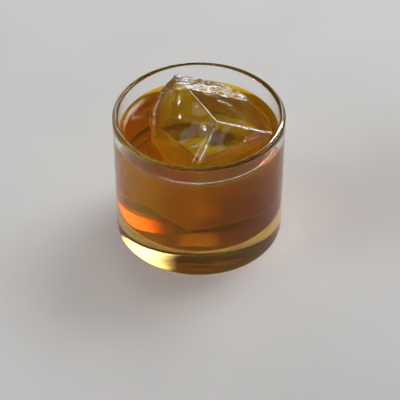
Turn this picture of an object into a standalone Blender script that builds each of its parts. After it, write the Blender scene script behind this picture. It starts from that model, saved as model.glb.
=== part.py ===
"""Old fashioned cocktail: a heavy based tumbler, its drink and one large hewn block of clear ice.

Metres, +Z up. The origin is the centre of the glass's underside, which is the face it rests on.
Three pieces: "glass", "drink" and "ice". The drink fills the glass to its level and has a bay cut
in it for the part of the ice that sits below the surface.
"""
import math

import bmesh
import bpy
from mathutils import Matrix, Vector

MM = 0.001

# Tumbler
GLASS_DIAMETER = 85.0 * MM
GLASS_HEIGHT = 71.0 * MM
WALL = 2.8 * MM
BASE_THICKNESS = 13.5 * MM
HEEL_RADIUS = 3.0 * MM
FLOOR_CORNER_RADIUS = 6.0 * MM
RIM_ROUNDING = 1.25 * MM
TURN_STEPS = 72

# Drink
LEVEL = 58.5 * MM
PIECE_GAP = 0.3 * MM

# Ice: every hewn face is a flat cut, given by the direction that it faces, as an azimuth and an
# elevation in degrees, and by its distance from the block's centre in millimetres.
ICE_CENTRE = Vector((4.0, 4.0, 38.0)) * MM
ICE_BLANK = 200.0 * MM
ICE_ARRIS = 0.9 * MM
ICE_ARRIS_STEPS = 2
ICE_ARRIS_MIN_ANGLE = 9.0
TOP_CUTS = {
    "front left slope": (-140.6, 70.3, 25.9),
    "right slope": (19.3, 73.7, 27.8),
    "front slope": (-58.5, 62.1, 27.5),
    "back slope": (26.5, 72.9, 28.75),
}
SIDE_CUTS = {
    "left": (180.0, 3.0, 28.3),
    "front left": (-155.0, -4.0, 26.4),
    "front heel": (-122.9, -6.0, 27.6),
    "front": (-68.8, -5.0, 27.0),
    "front right": (-48.7, -3.0, 24.0),
    "right": (0.0, 2.0, 32.0),
    "back right": (38.6, 0.0, 30.6),
    "back shoulder": (70.0, 0.0, 32.3),
    "back": (90.0, -2.0, 31.4),
    "back left": (137.8, 0.0, 33.2),
    "left shoulder": (162.0, 0.0, 29.4),
}
UNDER_CUTS = {
    "underside": (0.0, -86.0, 20.3),
    "under left": (-150.0, -48.0, 27.0),
    "under front": (-70.0, -45.0, 27.0),
    "under right": (25.0, -46.0, 28.5),
    "under back": (110.0, -44.0, 30.0),
}

GLASS_COLOUR = (0.93, 0.95, 0.95, 1.0)
DRINK_COLOUR = (0.56, 0.24, 0.03, 1.0)
ICE_COLOUR = (0.80, 0.84, 0.80, 1.0)


def clear_scene():
    for obj in list(bpy.data.objects):
        bpy.data.objects.remove(obj, do_unlink=True)


def clear_material(name, colour, roughness, ior):
    material = bpy.data.materials.new(name)
    material.use_nodes = True
    shader = material.node_tree.nodes["Principled BSDF"]
    shader.inputs["Base Color"].default_value = colour
    shader.inputs["Metallic"].default_value = 0.0
    shader.inputs["Roughness"].default_value = roughness
    shader.inputs["IOR"].default_value = ior
    shader.inputs["Transmission Weight"].default_value = 1.0
    return material


def link(name, mesh, material=None):
    obj = bpy.data.objects.new(name, mesh)
    bpy.context.scene.collection.objects.link(obj)
    if material:
        mesh.materials.append(material)
    return obj


def arc(centre_r, centre_z, radius, start, end, steps):
    """Points (r, z) on an arc whose angles are degrees from +r towards +z."""
    points = []
    for i in range(steps + 1):
        angle = math.radians(start + (end - start) * i / steps)
        points.append((centre_r + radius * math.cos(angle), centre_z + radius * math.sin(angle)))
    return points


def turned(name, profile, material):
    """A solid of revolution about Z from a profile that runs outside top to bottom, then inside."""
    mesh = bpy.data.meshes.new(name)
    bm = bmesh.new()
    ring = [bm.verts.new((r, 0.0, z)) for r, z in profile]
    edges = [bm.edges.new(pair) for pair in zip(ring, ring[1:])]
    bmesh.ops.spin(bm, geom=ring + edges, cent=(0.0, 0.0, 0.0), axis=(0.0, 0.0, 1.0),
                   angle=math.tau, steps=TURN_STEPS, use_merge=True)
    bmesh.ops.remove_doubles(bm, verts=bm.verts[:], dist=0.001 * MM)
    bmesh.ops.recalc_face_normals(bm, faces=bm.faces[:])
    bm.to_mesh(mesh)
    bm.free()
    mesh.shade_smooth()
    mesh.set_sharp_from_angle(angle=math.radians(40.0))
    return link(name, mesh, material)


def glass_profile():
    outer = GLASS_DIAMETER / 2.0
    inner = outer - WALL
    heel = arc(outer - HEEL_RADIUS, HEEL_RADIUS, HEEL_RADIUS, 0.0, -90.0, 6)
    corner_r = inner - FLOOR_CORNER_RADIUS
    corner_z = BASE_THICKNESS + FLOOR_CORNER_RADIUS
    corner = arc(corner_r, corner_z, FLOOR_CORNER_RADIUS, -90.0, 0.0, 8)
    lip_z = GLASS_HEIGHT - RIM_ROUNDING
    inner_lip = arc(inner + RIM_ROUNDING, lip_z, RIM_ROUNDING, 180.0, 90.0, 4)
    outer_lip = arc(outer - RIM_ROUNDING, lip_z, RIM_ROUNDING, 90.0, 0.0, 4)
    underside = [(0.0, 0.0)]
    floor = [(0.0, BASE_THICKNESS)]
    return outer_lip + heel + underside + floor + corner + inner_lip + outer_lip[:1]


def drink_profile():
    side = GLASS_DIAMETER / 2.0 - WALL - PIECE_GAP
    radius = FLOOR_CORNER_RADIUS - PIECE_GAP
    bottom = BASE_THICKNESS + PIECE_GAP
    corner = arc(side - radius, bottom + radius, radius, 0.0, -90.0, 8)
    return [(0.0, LEVEL), (side, LEVEL)] + corner + [(0.0, bottom)]


def cut_direction(azimuth, elevation):
    turn = Matrix.Rotation(math.radians(azimuth), 3, "Z")
    tilt = Matrix.Rotation(math.radians(-elevation), 3, "Y")
    return turn @ tilt @ Vector((1.0, 0.0, 0.0))


def hewn_block(name, clearance, material):
    """The convex block that is left of a blank after all the flat cuts, each moved out by clearance."""
    mesh = bpy.data.meshes.new(name)
    bm = bmesh.new()
    bmesh.ops.create_cube(bm, size=ICE_BLANK, matrix=Matrix.Translation(ICE_CENTRE))
    for cuts in (TOP_CUTS, SIDE_CUTS, UNDER_CUTS):
        for azimuth, elevation, distance in cuts.values():
            direction = cut_direction(azimuth, elevation)
            point = ICE_CENTRE + direction * (distance * MM + clearance)
            geom = bm.verts[:] + bm.edges[:] + bm.faces[:]
            bmesh.ops.bisect_plane(bm, geom=geom, dist=0.001 * MM, plane_co=point,
                                   plane_no=direction, clear_outer=True)
            rim = [edge for edge in bm.edges if edge.is_boundary]
            bmesh.ops.holes_fill(bm, edges=rim)
    bmesh.ops.recalc_face_normals(bm, faces=bm.faces[:])
    bm.to_mesh(mesh)
    bm.free()
    return link(name, mesh, material)


def make_ice(material):
    ice = hewn_block("ice", 0.0, material)
    arris = ice.modifiers.new("worn arrises", "BEVEL")
    arris.width = ICE_ARRIS
    arris.segments = ICE_ARRIS_STEPS
    arris.limit_method = "ANGLE"
    arris.angle_limit = math.radians(ICE_ARRIS_MIN_ANGLE)
    return ice


def make_drink(material):
    drink = turned("drink", drink_profile(), material)
    bay = hewn_block("ice_bay", PIECE_GAP, None)
    bay.hide_render = True
    bay.display_type = "WIRE"
    cut = drink.modifiers.new("bay for the ice", "BOOLEAN")
    cut.operation = "DIFFERENCE"
    cut.solver = "EXACT"
    cut.object = bay
    return drink


def main():
    clear_scene()
    turned("glass", glass_profile(), clear_material("glass", GLASS_COLOUR, 0.02, 1.5))
    make_drink(clear_material("drink", DRINK_COLOUR, 0.02, 1.35))
    make_ice(clear_material("ice", ICE_COLOUR, 0.12, 1.31))


main()
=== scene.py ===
"""Old fashioned cocktail: the looks of a heavy-based tumbler, its drink and a block of clear ice."""
import math
import random

import bmesh
import bpy
import numpy as np
from mathutils import Matrix, Vector, bvhtree, noise


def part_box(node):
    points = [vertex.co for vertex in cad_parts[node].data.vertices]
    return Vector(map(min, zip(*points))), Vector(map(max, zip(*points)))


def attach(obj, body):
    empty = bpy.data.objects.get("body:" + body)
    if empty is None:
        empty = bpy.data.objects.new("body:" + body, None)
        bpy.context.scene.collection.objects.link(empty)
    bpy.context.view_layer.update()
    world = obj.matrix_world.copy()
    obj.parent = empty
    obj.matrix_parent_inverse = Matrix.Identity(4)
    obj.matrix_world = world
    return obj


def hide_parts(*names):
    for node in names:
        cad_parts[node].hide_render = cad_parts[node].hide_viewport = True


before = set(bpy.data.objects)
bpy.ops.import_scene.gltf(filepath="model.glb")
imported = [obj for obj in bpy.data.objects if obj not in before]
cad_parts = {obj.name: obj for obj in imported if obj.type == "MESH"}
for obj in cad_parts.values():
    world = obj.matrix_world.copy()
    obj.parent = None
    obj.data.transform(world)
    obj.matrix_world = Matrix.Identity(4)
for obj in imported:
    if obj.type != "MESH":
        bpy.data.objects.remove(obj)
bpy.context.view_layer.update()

MM = 0.001
NOISE_SEED = 7

# Sizes that the frame gives
GLASS_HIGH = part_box("glass")[1]
DRINK_LOW, DRINK_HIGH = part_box("drink")
OUTER = GLASS_HIGH.x
HEIGHT = GLASS_HIGH.z
LEVEL = DRINK_HIGH.z
PIECE_GAP = 0.3 * MM
INNER = DRINK_HIGH.x + PIECE_GAP
FLOOR = DRINK_LOW.z - PIECE_GAP

# Glass
HEEL_RADIUS = 3.0 * MM
CORNER_RADIUS = 6.0 * MM
LIP_RADIUS = 1.25 * MM
TURN_STEPS = 256
LENGTH_STEPS = 12
FLAT_STEPS = 8
HEEL_STEPS = 14
CORNER_STEPS = 18
LIP_STEPS = 10

# Drink: it reaches a little into the wall, and climbs at the wall and at the ice
INTO_WALL = 0.12 * MM
WALL_RISE = 2.4 * MM
WALL_RISE_REACH = 1.7 * MM
ICE_RISE_STEEP = 1.7 * MM
ICE_RISE_GENTLE = 0.7 * MM
ICE_RISE_REACH = 1.4 * MM
RIPPLE = 0.03 * MM
RIPPLE_SCALE = 140.0
SURFACE_RINGS = 110
SURFACE_DROP = 0.5 * MM
DRINK_SHARP_ANGLE = 38.0
WALL_BUBBLES = 16
WALL_SHINE = 0.05

# Ice
ICE_VOXEL = 0.75 * MM
ICE_INTO_DRINK = 0.28 * MM
ICE_SHARP_ANGLE = 28.0
ICE_BUBBLES = 22
ICE_BUBBLE_SPACE = ((-16.0, 16.0), (-12.0, 26.0), (36.0, 59.0))
ICE_BUBBLE_RADIUS = (0.12, 0.40)
MELTED_ROUGHNESS = 0.40
# The left top face bulges: the way it faces, its middle and its reach along x (mm), its depth (mm)
CROWNED_FACE = Vector((-0.261, -0.214, 0.941))
CROWN_MIDDLE = -7.0
CROWN_REACH = 14.0
CROWN_DEPTH = 0.45
# The splintered crest starts at this y and runs between these x; wrinkles lead up to it (mm)
CREST_FRONT = 24.3
CREST_BACK = 35.4
CREST_SPAN = (-12.5, 25.0)
WRINKLE_FRONT = 19.5
WRINKLE_BACK = 23.5
# The crackled patch at the left: x, y and radius (mm)
SHOULDER = (-17.0, 24.0, 9.0)
# White splinters: on the crest partly frosted ice and partly painted glints, in each chip a painted
# glint
FROST_AND_GLINT_SHARDS = 190
CHIP_GLINT_SHARDS = 6
SHARD_CORNERS = 10
# Edges lined with white splinters, a painted highlight where each edge would glint: start and end
# (mm), radius at the start and at the end (mm), number of shards
PAINTED_GLINT_EDGES = {
    "right edge": ((9.2, 0.1, 65.8), (35.4, 0.1, 58.6), 0.26, 0.62, 22),
    "middle edge": ((-9.0, 30.6, 67.9), (8.9, 0.1, 65.9), 0.07, 0.15, 26),
    "crest corner": ((-12.0, 35.0, 68.0), (-9.3, 31.0, 67.9), 0.10, 0.10, 5),
    "front edge": ((7.6, -3.2, 64.8), (0.0, -22.0, 58.4), 0.10, 0.24, 14),
    "front edge, left line": ((3.8, -7.0, 63.3), (-3.4, -22.6, 58.3), 0.08, 0.18, 12),
}
# Chips in the top faces: centre x, y, half length, half width, direction in degrees, depth (mm)
CHIPS = {
    "long chip": (-9.8, 18.4, 3.2, 1.0, 86.0, 0.50),
    "high chip": (-1.0, 12.3, 0.9, 0.7, 60.0, 0.40),
    "low chip": (-9.4, 8.3, 2.0, 0.7, 92.0, 0.38),
    "corner chip": (2.5, -1.6, 2.3, 1.6, 112.0, 0.55),
    "bottom nick": (-1.7, -11.6, 1.9, 0.7, 12.0, 0.40),
    "right streak": (11.4, 18.9, 2.4, 0.8, -4.0, 0.42),
    "right streak end": (15.3, 17.9, 1.9, 0.7, -28.0, 0.38),
    "edge nick": (22.8, -5.6, 1.3, 0.7, 70.0, 0.42),
    "edge nick below": (23.8, -8.0, 0.9, 0.6, 30.0, 0.36),
    "edge nick left": (21.2, -7.8, 1.0, 0.5, 120.0, 0.32),
}

# Stage
LIGHT_AIM = Vector((0.0, 0.0, 0.04))
FLOOR_REACH = 3.0
FLOOR_DROP = 0.05 * MM
ROOM_COLOUR = (0.88, 0.93, 1.0, 1.0)
ROOM_STRENGTH = 0.06
# Softboxes: azimuth and elevation (degrees), distance, width and height (m), energy (W), and
# whether they fade towards their edges
SOFTBOXES = {
    "key_softbox": (44.0, 45.0, 1.0, 0.92, 0.56, 18.0, True),
    "overhead_softbox": (90.0, 89.9, 1.26, 1.24, 1.38, 4.0, False),
    "rim_softbox": (90.0, 74.0, 1.2, 0.50, 0.40, 4.0, True),
    "left_softbox": (192.0, 7.5, 1.6, 1.6, 0.48, 150.0, True),
    "back_softbox": (98.0, 20.0, 1.0, 0.48, 0.18, 2.6, True),
}
FULL_LIGHT_REACH = 0.12

# Camera
CAMERA_ELEVATION = 41.96
CAMERA_DISTANCE = 0.771
CAMERA_AIM = Vector((0.0005, 0.0, 0.0142))
CAMERA_LENS = 135.0
CAMERA_SENSOR = 36.0


# ---------------------------------------------------------------- mesh helpers

def arc(centre_r, centre_z, radius, start, end, steps):
    """Points (r, z) on an arc whose angles are degrees from +r towards +z."""
    points = []
    for i in range(steps + 1):
        angle = math.radians(start + (end - start) * i / steps)
        points.append((centre_r + radius * math.cos(angle), centre_z + radius * math.sin(angle)))
    return points


def straight(r, start_z, end_z):
    """Points (r, z) down or up a straight wall, without the last."""
    return [(r, start_z + (end_z - start_z) * i / LENGTH_STEPS) for i in range(LENGTH_STEPS)]


def flat_to_axis(z):
    """Points (r, z) along the flat inner bottom, from its corner to the axis."""
    reach = INNER - CORNER_RADIUS
    return [(reach * (1.0 - i / FLAT_STEPS), z) for i in range(1, FLAT_STEPS + 1)]


def link(name, mesh):
    obj = bpy.data.objects.new(name, mesh)
    bpy.context.scene.collection.objects.link(obj)
    return obj


def faces_out(mesh):
    bm = bmesh.new()
    bm.from_mesh(mesh)
    bmesh.ops.recalc_face_normals(bm, faces=bm.faces[:])
    bm.to_mesh(mesh)
    bm.free()
    mesh.shade_smooth()
    return mesh


def lathe(name, profile, steps=TURN_STEPS, height=None):
    """A closed solid turned about Z, from a profile that starts and ends on the axis.
    height(x, y, z) says how far each point is lifted."""
    verts = []
    rings = []
    for r, z in profile:
        count = 1 if r < 1e-7 else steps
        rings.append((len(verts), count))
        for k in range(count):
            angle = math.tau * k / steps
            x, y = r * math.cos(angle), r * math.sin(angle)
            verts.append((x, y, z + (height(x, y, z) if height else 0.0)))
    faces = []
    for (a, count_a), (b, count_b) in zip(rings, rings[1:]):
        for k in range(steps):
            n = (k + 1) % steps
            if count_a == 1:
                faces.append((a, b + n, b + k))
            elif count_b == 1:
                faces.append((a + k, a + n, b))
            else:
                faces.append((a + k, a + n, b + n, b + k))
    mesh = bpy.data.meshes.new(name)
    mesh.from_pydata(verts, [], faces)
    return link(name, faces_out(mesh))


def baked(obj):
    """The object with its modifiers applied."""
    bpy.context.view_layer.update()
    graph = bpy.context.evaluated_depsgraph_get()
    mesh = bpy.data.meshes.new_from_object(obj.evaluated_get(graph))
    obj.modifiers.clear()
    old = obj.data
    obj.data = mesh
    mesh.name = obj.name
    bpy.data.meshes.remove(old)
    return obj


def in_order(obj):
    """Gives the points and faces that a Boolean leaves an order that is the same each run."""
    old = obj.data
    places = [tuple(vertex.co) for vertex in old.vertices]
    order = sorted(range(len(places)), key=places.__getitem__)
    rank = {before: after for after, before in enumerate(order)}
    faces = []
    for face in old.polygons:
        corners = [rank[i] for i in face.vertices]
        first = corners.index(min(corners))
        faces.append(corners[first:] + corners[:first])
    obj.data = bpy.data.meshes.new(obj.name)
    obj.data.from_pydata([places[i] for i in order], [], sorted(faces))
    bpy.data.meshes.remove(old)


def add_hollows(obj, hollows):
    """Round bubbles inside a solid: (centre, radius) pairs, as cavities whose faces point inwards."""
    bm = bmesh.new()
    bm.from_mesh(obj.data)
    for centre, radius in hollows:
        place = Matrix.Translation(centre)
        made = bmesh.ops.create_icosphere(bm, subdivisions=2, radius=radius, matrix=place)
        faces = dict.fromkeys(face for vert in made["verts"] for face in vert.link_faces)
        for face in faces:
            face.normal_flip()
            face.smooth = True
    bm.to_mesh(obj.data)
    bm.free()


def smoothstep(low, high, value):
    t = min(max((value - low) / (high - low), 0.0), 1.0)
    return t * t * (3.0 - 2.0 * t)


# ---------------------------------------------------------------- glass

def make_glass():
    lip_z = HEIGHT - LIP_RADIUS
    corner_z = FLOOR + CORNER_RADIUS
    under = [((OUTER - HEEL_RADIUS) * i / FLAT_STEPS, 0.0) for i in range(FLAT_STEPS)]
    heel = arc(OUTER - HEEL_RADIUS, HEEL_RADIUS, HEEL_RADIUS, -90.0, 0.0, HEEL_STEPS)
    side = straight(OUTER, HEEL_RADIUS, lip_z)[1:]
    outer_lip = arc(OUTER - LIP_RADIUS, lip_z, LIP_RADIUS, 0.0, 90.0, LIP_STEPS)
    inner_lip = arc(INNER + LIP_RADIUS, lip_z, LIP_RADIUS, 90.0, 180.0, LIP_STEPS)
    wall = straight(INNER, lip_z, corner_z)[1:]
    corner = arc(INNER - CORNER_RADIUS, corner_z, CORNER_RADIUS, 0.0, -90.0, CORNER_STEPS)
    floor = flat_to_axis(FLOOR)
    return lathe("glass_tumbler", under + heel + side + outer_lip + inner_lip + wall + corner + floor)


# ---------------------------------------------------------------- ice

def ridged(point, scale, seed):
    """Noise with sharp crests, 1 on a crest."""
    place = point * scale + Vector((seed, seed * 1.7, seed * 0.6))
    return 1.0 - abs(noise.noise(place)) * 2.0


def wave(point, scale, seed):
    """Smooth noise, from -1 to 1."""
    return noise.noise(point * scale + Vector((seed, seed * 1.3, seed * 2.1)))


def splinters(point, size, seed):
    """Flat splinters of about this size, each with a tilt of its own: a height in metres."""
    place = point / size + Vector((seed, seed, seed))
    centre = noise.voronoi(place)[1][0]
    tilt = noise.noise_vector(centre * 5.3 + Vector((seed, 0.0, 0.0)))
    return (place - centre).dot(tilt) * size


def on_crest(point, normal):
    """1 on the splintered strip at the back of the top, 0 elsewhere."""
    share = smoothstep(CREST_FRONT * MM, (CREST_FRONT + 1.4) * MM, point.y)
    share *= smoothstep(LEVEL - 0.5 * MM, LEVEL + 1.0 * MM, point.z)
    return share * smoothstep(0.3, 0.7, normal.z)


def on_shoulder(point):
    """1 on the crackled patch at the top's left corner, 0 elsewhere."""
    x, y, radius = SHOULDER
    away = math.hypot(point.x / MM - x, point.y / MM - y)
    return smoothstep(radius, radius * 0.5, away) * smoothstep(LEVEL, LEVEL + 2.0 * MM, point.z)


def chip_depth(point):
    """How deep the deepest chip is here, in mm."""
    depth = 0.0
    for x, y, half_length, half_width, turn, deep in CHIPS.values():
        along_x, along_y = math.cos(math.radians(turn)), math.sin(math.radians(turn))
        dx, dy = point.x / MM - x, point.y / MM - y
        along = (dx * along_x + dy * along_y) / half_length
        across = (dy * along_x - dx * along_y) / half_width
        reach = along * along + across * across
        if reach < 1.0:
            depth = max(depth, deep * (1.0 - reach))
    return depth


def melt_relief(point, normal):
    """How far the melted surface waves out of the flat cuts, in metres."""
    crown = smoothstep(0.96, 0.99, normal.dot(CROWNED_FACE))
    crown *= smoothstep(LEVEL - 3.0 * MM, LEVEL, point.z)
    from_middle = (point.x / MM - CROWN_MIDDLE) / CROWN_REACH
    lift = 0.22 * wave(point, 90.0, 3.1) + 0.08 * wave(point, 210.0, 8.4)
    return (lift - CROWN_DEPTH * crown * from_middle * from_middle) * MM


def hewn_relief(point, normal):
    """How far splinters, cracks and chips stand out of the melted surface, in metres."""
    if point.z < LEVEL - 2.0 * MM:
        return 0.0
    lift = 0.0
    crest = on_crest(point, normal)
    if crest > 0.0:
        stretched = Vector((point.x * 0.30, point.y + point.x * 0.10, point.z))
        rough = 1.0 * splinters(stretched, 2.3 * MM, 4.0) + 0.7 * splinters(stretched, 1.0 * MM, 9.0)
        lift += crest * (rough / MM + 0.30 * ridged(stretched, 260.0, 5.2) - 0.15)
    wrinkle = smoothstep(WRINKLE_FRONT * MM, WRINKLE_BACK * MM, point.y) * (1.0 - crest)
    wrinkle *= smoothstep(0.3, 0.7, normal.z)
    if wrinkle > 0.0 and point.z > LEVEL:
        drawn = Vector((point.x * 0.35, point.y, point.z))
        lift += wrinkle * 0.16 * ridged(drawn, 420.0, 1.7)
    shoulder = on_shoulder(point)
    if shoulder > 0.0:
        crackle = 0.22 * splinters(point, 3.2 * MM, 2.0) / MM
        lift += shoulder * (crackle + 0.13 * ridged(point, 420.0, 7.0))
    if normal.z > 0.5:
        chip = chip_depth(point)
        if chip > 0.0:
            broken = splinters(point, 0.9 * MM, 6.0) / MM * chip * 2.0
            lift -= chip * (0.7 + 0.9 * ridged(point, 700.0, 3.3)) + broken
    return lift * MM


def displace(mesh, relief):
    """Moves every vertex along its normal by relief(place, normal)."""
    places = [vertex.co + vertex.normal * relief(vertex.co, vertex.normal) for vertex in mesh.vertices]
    for vertex, place in zip(mesh.vertices, places):
        vertex.co = place
    mesh.update()


def needs_detail(place):
    if place.z < LEVEL - 1.5 * MM:
        return False
    x, y = place.x / MM, place.y / MM
    if y > WRINKLE_FRONT and CREST_SPAN[0] < x < CREST_SPAN[1]:
        return True
    if math.hypot(x - SHOULDER[0], y - SHOULDER[1]) < SHOULDER[2]:
        return True
    return any(math.hypot(x - chip[0], y - chip[1]) < chip[2] + 1.0 for chip in CHIPS.values())


def refine(mesh):
    """Smaller faces where the ice is splintered, crackled or chipped."""
    bm = bmesh.new()
    bm.from_mesh(mesh)
    fine = [face for face in bm.faces if needs_detail(face.calc_center_median())]
    edges = list(dict.fromkeys(edge for face in fine for edge in face.edges))
    bmesh.ops.subdivide_edges(bm, edges=edges, cuts=2, use_grid_fill=True)
    bmesh.ops.triangulate(bm, faces=bm.faces[:])
    bm.to_mesh(mesh)
    bm.free()


def make_ice():
    """The block, and the bay that it needs in the drink."""
    ice = link("ice_block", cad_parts["ice"].data.copy())
    ice.data.materials.clear()
    remesh = ice.modifiers.new("even faces", "REMESH")
    remesh.mode = "VOXEL"
    remesh.voxel_size = ICE_VOXEL
    baked(ice)
    displace(ice.data, melt_relief)
    bay = link("ice_bay", ice.data.copy())
    displace(bay.data, lambda place, normal: -ICE_INTO_DRINK)
    refine(ice.data)
    displace(ice.data, hewn_relief)
    ice.data.shade_smooth()
    ice.data.set_sharp_from_angle(angle=math.radians(ICE_SHARP_ANGLE))
    return ice, bay


def add_shard(bm, draw, place, spin, half_size):
    """A convex splinter round a place; half_size is its reach along each of its own axes."""
    corners = []
    for _ in range(SHARD_CORNERS):
        corner = Vector([draw.uniform(-1.0, 1.0) * reach for reach in half_size])
        corners.append(bm.verts.new(place + spin @ corner))
    hull = bmesh.ops.convex_hull(bm, input=corners)
    spare = [item for item in hull["geom_interior"] if isinstance(item, bmesh.types.BMVert)]
    bmesh.ops.delete(bm, geom=spare, context="VERTS")


def shard_turn(turn, pitch):
    """Turned about Z, then pitched about its own Y, in degrees."""
    return Matrix.Rotation(math.radians(turn), 3, "Z") @ Matrix.Rotation(math.radians(pitch), 3, "Y")


def crest_shards(bm, draw, top_at):
    """Long white splinters all over the crest, clear of the glass and of the drink: partly frosted,
    crushed ice and partly a painted highlight for the crest's glints.
    """
    made = 0
    while made < FROST_AND_GLINT_SHARDS:
        x = draw.uniform(CREST_SPAN[0], CREST_SPAN[1]) * MM
        y = draw.uniform(CREST_FRONT, CREST_BACK) * MM
        half_length = draw.uniform(0.6, 2.2) * MM
        place, normal, _, _ = top_at(x, y)
        if place is None or place.z < LEVEL + 0.4 * MM or normal.z < 0.35:
            continue
        if math.hypot(x, y) > INNER - 1.6 * MM or x - half_length < CREST_SPAN[0] * MM:
            continue
        spin = shard_turn(draw.gauss(-9.0, 13.0), draw.gauss(6.0, 9.0))
        add_shard(bm, draw, place, spin, (half_length, 0.24 * half_length, 0.14 * half_length))
        made += 1


def chip_glint_shards(bm, draw, top_at):
    """A row of small white splinters in each chip: a painted glint for the light that the chip's facets
    catch.
    """
    for x, y, half_length, half_width, turn, _ in CHIPS.values():
        along = Vector((math.cos(math.radians(turn)), math.sin(math.radians(turn))))
        for i in range(CHIP_GLINT_SHARDS):
            share = (2.0 * i + 1.0) / CHIP_GLINT_SHARDS - 1.0
            here = Vector((x, y)) + along * share * half_length * 0.8
            here.x += draw.uniform(-0.35, 0.35) * half_width
            here.y += draw.uniform(-0.35, 0.35) * half_width
            place, _, _, _ = top_at(here.x * MM, here.y * MM)
            if place is None or place.z < LEVEL + 0.3 * MM:
                continue
            length = draw.uniform(0.30, 0.55) * half_length * MM
            width = draw.uniform(0.22, 0.42) * half_width * (1.0 - share * share * 0.6) * MM
            spin = shard_turn(turn + draw.gauss(0.0, 14.0), draw.gauss(0.0, 6.0))
            add_shard(bm, draw, place, spin, (length, width, 0.16 * MM))


def edge_glint_shards(bm, draw):
    """Short white splinters end to end along the edges: a painted highlight where the edges would
    glint.
    """
    for start, end, radius_start, radius_end, count in PAINTED_GLINT_EDGES.values():
        start, end = Vector(start) * MM, Vector(end) * MM
        spin = (end - start).to_track_quat("X", "Z").to_matrix()
        reach = (end - start).length / count
        for i in range(count):
            share = (i + 0.5) / count
            radius = radius_start + (radius_end - radius_start) * share
            radius *= draw.uniform(0.75, 1.15) * MM
            place = start.lerp(end, share)
            place.y += draw.uniform(-0.12, 0.12) * MM
            add_shard(bm, draw, place, spin, (reach * draw.uniform(0.6, 1.0), radius, radius))


def make_frost_and_glints(ice):
    """Loose white splinters along the crest, in the chips and on the sharpest edges: on the crest
    partly frosted ice and partly painted glints, in the chips and on the edges painted highlights.
    """
    draw = random.Random(11)
    surface = bvhtree.BVHTree.FromObject(ice, bpy.context.evaluated_depsgraph_get())
    down = Vector((0.0, 0.0, -1.0))

    def top_at(x, y):
        return surface.ray_cast(Vector((x, y, HEIGHT)), down)
    bm = bmesh.new()
    crest_shards(bm, draw, top_at)
    chip_glint_shards(bm, draw, top_at)
    edge_glint_shards(bm, draw)
    mesh = bpy.data.meshes.new("ice_frost_and_glints")
    bm.to_mesh(mesh)
    bm.free()
    return link("ice_frost_and_glints", mesh)


def ice_bubbles():
    """A few small bubbles scattered in the block."""
    draw = random.Random(5)
    hollows = []
    for _ in range(ICE_BUBBLES):
        place = Vector([draw.uniform(*span) for span in ICE_BUBBLE_SPACE])
        hollows.append((place * MM, draw.uniform(*ICE_BUBBLE_RADIUS) * MM))
    return hollows


# ---------------------------------------------------------------- drink

def waterline(level):
    """The ice's outline at the drink's level: pairs of ends, with how steep the ice is there."""
    bm = bmesh.new()
    bm.from_mesh(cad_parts["ice"].data)
    bmesh.ops.remove_doubles(bm, verts=bm.verts[:], dist=0.01 * MM)
    lines = []
    for face in bm.faces:
        ends = []
        for edge in face.edges:
            a, b = (v.co for v in edge.verts)
            if (a.z - level) * (b.z - level) < 0:
                ends.append(a.lerp(b, (level - a.z) / (b.z - a.z)))
        if len(ends) == 2:
            lines.append((ends[0].xy, ends[1].xy, 1.0 - abs(face.normal.z)))
    bm.free()
    return lines


def drink_height(lines):
    """A function for how far the surface climbs above its level, beside the ice and the wall."""
    starts = np.array([line[0] for line in lines])
    along = np.array([line[1] for line in lines]) - starts
    steep = np.array([line[2] for line in lines])
    length = np.maximum((along ** 2).sum(1), 1e-12)

    def height(x, y, z):
        if z < LEVEL - 1e-6:
            return 0.0
        here = np.array((x, y))
        share = np.clip(((here - starts) * along).sum(1) / length, 0.0, 1.0)
        gaps = np.hypot(*(here - starts - along * share[:, None]).T)
        near = int(gaps.argmin())
        rise = ICE_RISE_GENTLE + (ICE_RISE_STEEP - ICE_RISE_GENTLE) * steep[near]
        lift = rise * math.exp(-gaps[near] / ICE_RISE_REACH)
        from_wall = max(INNER - math.hypot(x, y), 0.0)
        lift = max(lift, WALL_RISE * math.exp(-from_wall / WALL_RISE_REACH))
        return lift + RIPPLE * noise.noise(Vector((x, y, 0.0)) * RIPPLE_SCALE)
    return height


def wall_bubbles():
    """Small bubbles that cling to the glass just under the surface."""
    draw = random.Random(3)
    hollows = []
    for _ in range(WALL_BUBBLES):
        radius = draw.uniform(0.16, 0.42) * MM
        angle = math.radians(draw.uniform(195.0, 345.0))
        away = INNER - radius - 0.1 * MM
        z = LEVEL - radius - draw.expovariate(0.5) * MM
        hollows.append((Vector((away * math.cos(angle), away * math.sin(angle), z)), radius))
    return hollows


def make_drink(bay):
    side = INNER + INTO_WALL
    corner_z = FLOOR + CORNER_RADIUS
    quarter = 0.5 * math.pi
    top = [(side * math.sin(quarter * i / SURFACE_RINGS), LEVEL) for i in range(SURFACE_RINGS + 1)]
    wall = straight(side, LEVEL - SURFACE_DROP, corner_z)
    corner = arc(INNER - CORNER_RADIUS, corner_z, CORNER_RADIUS + INTO_WALL, 0.0, -90.0, CORNER_STEPS)
    base = flat_to_axis(FLOOR - INTO_WALL)
    drink = lathe("drink_body", top + wall + corner + base, height=drink_height(waterline(LEVEL)))
    cut = drink.modifiers.new("bay", "BOOLEAN")
    cut.operation = "DIFFERENCE"
    cut.solver = "EXACT"
    cut.object = bay
    baked(drink)
    in_order(drink)
    bpy.data.objects.remove(bay)
    drink.data.shade_smooth()
    drink.data.set_sharp_from_angle(angle=math.radians(DRINK_SHARP_ANGLE))
    return drink


# ---------------------------------------------------------------- materials

def material(name):
    made = bpy.data.materials.new(name)
    made.use_nodes = True
    return made, made.node_tree, made.node_tree.nodes["Principled BSDF"]


def object_place(tree):
    return tree.nodes.new("ShaderNodeTexCoord").outputs["Object"]


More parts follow.
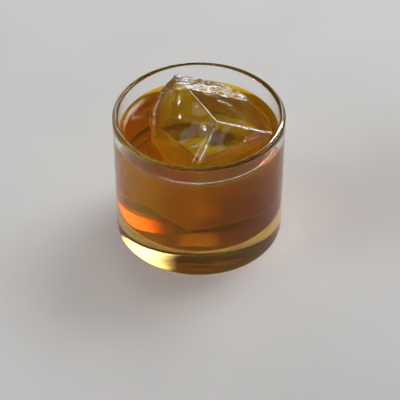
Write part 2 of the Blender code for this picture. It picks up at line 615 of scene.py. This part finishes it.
def noise_value(tree, scale, detail=3.0, roughness=0.5, drawn=(1.0, 1.0, 1.0)):
    """Noise in the piece's own space. A number under 1 in drawn stretches it along that axis."""
    node = tree.nodes.new("ShaderNodeTexNoise")
    node.inputs["Scale"].default_value = scale
    node.inputs["Detail"].default_value = detail
    node.inputs["Roughness"].default_value = roughness
    stretch = tree.nodes.new("ShaderNodeVectorMath")
    stretch.operation = "MULTIPLY"
    stretch.inputs[1].default_value = drawn
    tree.links.new(object_place(tree), stretch.inputs[0])
    tree.links.new(stretch.outputs["Vector"], node.inputs["Vector"])
    return node.outputs["Fac"]


def mapped(tree, value, low, high, to_low, to_high, blend="LINEAR"):
    node = tree.nodes.new("ShaderNodeMapRange")
    node.interpolation_type = blend
    node.inputs["From Min"].default_value = low
    node.inputs["From Max"].default_value = high
    node.inputs["To Min"].default_value = to_low
    node.inputs["To Max"].default_value = to_high
    tree.links.new(value, node.inputs["Value"])
    return node.outputs["Result"]


def maths(tree, operation, *values):
    node = tree.nodes.new("ShaderNodeMath")
    node.operation = operation
    for socket, value in zip(node.inputs, values):
        if isinstance(value, float):
            socket.default_value = value
        else:
            tree.links.new(value, socket)
    return node.outputs["Value"]


def blended(tree, value, first, second):
    """A colour between two, by a value from 0 to 1."""
    node = tree.nodes.new("ShaderNodeMix")
    node.data_type = "RGBA"
    node.inputs["A"].default_value = (*first, 1.0)
    node.inputs["B"].default_value = (*second, 1.0)
    tree.links.new(value, node.inputs["Factor"])
    return node.outputs["Result"]


def bump(tree, shader, value, strength, distance):
    node = tree.nodes.new("ShaderNodeBump")
    node.inputs["Strength"].default_value = strength
    node.inputs["Distance"].default_value = distance
    tree.links.new(value, node.inputs["Height"])
    tree.links.new(node.outputs["Normal"], shader.inputs["Normal"])


def clear(tree, shader, ior, lamp_tint):
    """Clear matter that bends sight, and lets the lamps' light through to what is behind it."""
    shader.inputs["Base Color"].default_value = (1.0, 1.0, 1.0, 1.0)
    shader.inputs["Roughness"].default_value = 0.0
    shader.inputs["IOR"].default_value = ior
    shader.inputs["Transmission Weight"].default_value = 1.0
    path = tree.nodes.new("ShaderNodeLightPath")
    mix = tree.nodes.new("ShaderNodeMixShader")
    through = tree.nodes.new("ShaderNodeBsdfTransparent")
    through.inputs["Color"].default_value = (*lamp_tint, 1.0)
    tree.links.new(path.outputs["Is Shadow Ray"], mix.inputs["Fac"])
    tree.links.new(shader.outputs["BSDF"], mix.inputs[1])
    tree.links.new(through.outputs["BSDF"], mix.inputs[2])
    tree.links.new(mix.outputs["Shader"], tree.nodes["Material Output"].inputs["Surface"])


def absorbing(tree, colour, density):
    node = tree.nodes.new("ShaderNodeVolumeAbsorption")
    node.inputs["Color"].default_value = (*colour, 1.0)
    node.inputs["Density"].default_value = density
    tree.links.new(node.outputs["Volume"], tree.nodes["Material Output"].inputs["Volume"])


def glass_material():
    made, tree, shader = material("tumbler_glass")
    clear(tree, shader, 1.5, (0.90, 0.90, 0.90))
    absorbing(tree, (0.80, 0.92, 0.88), 4.0)
    shader.inputs["Specular Tint"].default_value = (0.18, 0.18, 0.18, 1.0)
    bump(tree, shader, noise_value(tree, 60.0, 2.0), 0.05, 0.0004)
    return made


def drink_material():
    made, tree, shader = material("amber_drink")
    clear(tree, shader, 1.345, (0.58, 0.34, 0.09))
    streaks = noise_value(tree, 26.0, 4.0, 0.55, (1.0, 1.0, 0.45))
    streaks = mapped(tree, streaks, 0.38, 0.62, 0.0, 1.0)
    colour = blended(tree, streaks, (0.86, 0.47, 0.012), (1.0, 0.70, 0.03))
    tree.links.new(colour, shader.inputs["Base Color"])
    shader.inputs["Transmission Weight"].default_value = 0.95
    shader.inputs["Subsurface Weight"].default_value = 1.0
    shader.inputs["Subsurface Radius"].default_value = (1.0, 0.5, 0.1)
    shader.inputs["Subsurface Scale"].default_value = 0.02
    absorbing(tree, (0.90, 0.765, 0.0), 240.0)
    split = tree.nodes.new("ShaderNodeSeparateXYZ")
    tree.links.new(object_place(tree), split.inputs["Vector"])
    squared = [maths(tree, "MULTIPLY", split.outputs[axis], split.outputs[axis]) for axis in ("X", "Y")]
    inside = maths(tree, "LESS_THAN", maths(tree, "ADD", *squared), (INNER + 0.05 * MM) ** 2)
    open_air = maths(tree, "GREATER_THAN", split.outputs["Z"], LEVEL - 0.3 * MM)
    shine = mapped(tree, maths(tree, "MAXIMUM", inside, open_air), 0.0, 1.0, WALL_SHINE, 1.0)
    tree.links.new(shine, shader.inputs["Specular Tint"])
    bump(tree, shader, noise_value(tree, 90.0, 2.0), 0.18, 0.0006)
    return made


def ice_material():
    made, tree, shader = material("clear_ice")
    clear(tree, shader, 1.31, (0.80, 0.80, 0.75))
    absorbing(tree, (0.72, 0.785, 0.68), 34.0)
    split = tree.nodes.new("ShaderNodeSeparateXYZ")
    tree.links.new(object_place(tree), split.inputs["Vector"])
    crest = mapped(tree, split.outputs["Y"], CREST_FRONT * MM, (CREST_FRONT + 1.5) * MM, 0.0, 0.22)
    above = mapped(tree, split.outputs["Z"], LEVEL, LEVEL + 1.0 * MM, 0.0, 1.0)
    smooth = mapped(tree, noise_value(tree, 120.0), 0.45, 0.75, 0.0, 0.06)
    rough = maths(tree, "ADD", maths(tree, "MULTIPLY", crest, above), smooth)
    below = mapped(tree, split.outputs["Z"], LEVEL - 2.0 * MM, LEVEL - 0.5 * MM, MELTED_ROUGHNESS, 0.0)
    rough = maths(tree, "ADD", rough, below)
    tree.links.new(rough, shader.inputs["Roughness"])
    wet = mapped(tree, split.outputs["Z"], LEVEL - 0.5 * MM, LEVEL, 0.0, 1.0)
    tree.links.new(wet, shader.inputs["Coat Weight"])
    shader.inputs["Coat IOR"].default_value = 1.5
    shader.inputs["Coat Roughness"].default_value = 0.03
    bump(tree, shader, noise_value(tree, 500.0, 4.0), 0.10, 0.0003)
    return made


def frost_and_glint_material():
    made, tree, shader = material("frost_and_painted_glints")
    clear(tree, shader, 1.31, (0.90, 0.90, 0.90))
    # The splinters' white is partly frosted ice and partly a painted highlight for glints on the crest,
    # the chips and the edges
    shader.inputs["Base Color"].default_value = (0.95, 0.96, 1.0, 1.0)
    shader.inputs["Transmission Weight"].default_value = 0.68
    rough = mapped(tree, noise_value(tree, 900.0), 0.3, 0.7, 0.10, 0.35)
    tree.links.new(rough, shader.inputs["Roughness"])
    bump(tree, shader, noise_value(tree, 1500.0), 0.3, 0.0002)
    return made


# ---------------------------------------------------------------- stage

def make_floor():
    mesh = bpy.data.meshes.new("floor")
    corners = [(-1.0, -1.0), (1.0, -1.0), (1.0, 1.0), (-1.0, 1.0)]
    places = [(x * FLOOR_REACH, y * FLOOR_REACH, -FLOOR_DROP) for x, y in corners]
    mesh.from_pydata(places, [], [(0, 1, 2, 3)])
    floor = link("floor", mesh)
    made, tree, shader = material("pale_floor")
    grain = mapped(tree, noise_value(tree, 14.0, 5.0), 0.3, 0.7, 0.0, 1.0)
    colour = blended(tree, grain, (0.460, 0.456, 0.448), (0.488, 0.484, 0.476))
    tree.links.new(colour, shader.inputs["Base Color"])
    shader.inputs["Roughness"].default_value = 0.9
    shader.inputs["Specular IOR Level"].default_value = 0.0
    mesh.materials.append(made)


def fade_edges(lamp):
    """Make a softbox brightest in its middle, fading towards its edges as a real diffuser does."""
    lamp.use_nodes = True
    tree = lamp.node_tree
    place = tree.nodes.new("ShaderNodeNewGeometry")
    split = tree.nodes.new("ShaderNodeSeparateXYZ")
    tree.links.new(place.outputs["Parametric"], split.inputs["Vector"])
    fades = []
    for axis in "XY":
        off_middle = maths(tree, "ABSOLUTE", maths(tree, "SUBTRACT", split.outputs[axis], 0.5))
        fades.append(mapped(tree, off_middle, FULL_LIGHT_REACH, 0.5, 1.0, 0.0, "SMOOTHSTEP"))
    tree.links.new(maths(tree, "MULTIPLY", *fades), tree.nodes["Emission"].inputs["Strength"])


def softbox(name, azimuth, elevation, distance, width, height, energy, faded):
    """A rectangular lamp facing the drink. Azimuth runs from +X towards +Y, in degrees."""
    lamp = bpy.data.lights.new(name, "AREA")
    if faded:
        fade_edges(lamp)
    lamp.shape = "RECTANGLE"
    lamp.size, lamp.size_y = width, height
    lamp.energy = energy
    obj = bpy.data.objects.new(name, lamp)
    bpy.context.scene.collection.objects.link(obj)
    turn, tilt = math.radians(azimuth), math.radians(elevation)
    away = Vector((math.cos(tilt) * math.cos(turn), math.cos(tilt) * math.sin(turn), math.sin(tilt)))
    obj.location = LIGHT_AIM + away * distance
    obj.rotation_euler = away.to_track_quat("Z", "Y").to_euler()


def make_lights():
    world = bpy.data.worlds.new("studio")
    world.use_nodes = True
    background = world.node_tree.nodes["Background"]
    background.inputs["Color"].default_value = ROOM_COLOUR
    background.inputs["Strength"].default_value = ROOM_STRENGTH
    bpy.context.scene.world = world
    for name, values in SOFTBOXES.items():
        softbox(name, *values)


def make_camera():
    camera = bpy.data.objects.new("camera", bpy.data.cameras.new("camera"))
    bpy.context.scene.collection.objects.link(camera)
    camera.data.lens = CAMERA_LENS
    camera.data.sensor_width = CAMERA_SENSOR
    tilt = math.radians(CAMERA_ELEVATION)
    away = Vector((0.0, -math.cos(tilt), math.sin(tilt)))
    camera.location = CAMERA_AIM + away * CAMERA_DISTANCE
    camera.rotation_euler = away.to_track_quat("Z", "Y").to_euler()
    camera.data.clip_start = 0.01
    bpy.context.scene.camera = camera


def dress(piece, surface, replaced=None):
    piece.data.materials.clear()
    piece.data.materials.append(surface)
    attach(piece, "root")
    if replaced:
        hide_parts(replaced)


def main():
    noise.seed_set(NOISE_SEED)
    make_camera()
    make_floor()
    make_lights()
    bpy.context.scene.view_settings.view_transform = "Standard"
    glass = make_glass()
    ice, bay = make_ice()
    frost_and_glint_splinters = make_frost_and_glints(ice)
    drink = make_drink(bay)
    add_hollows(ice, ice_bubbles())
    add_hollows(drink, wall_bubbles())
    dress(glass, glass_material(), "glass")
    dress(ice, ice_material(), "ice")
    dress(frost_and_glint_splinters, frost_and_glint_material())
    dress(drink, drink_material(), "drink")


main()
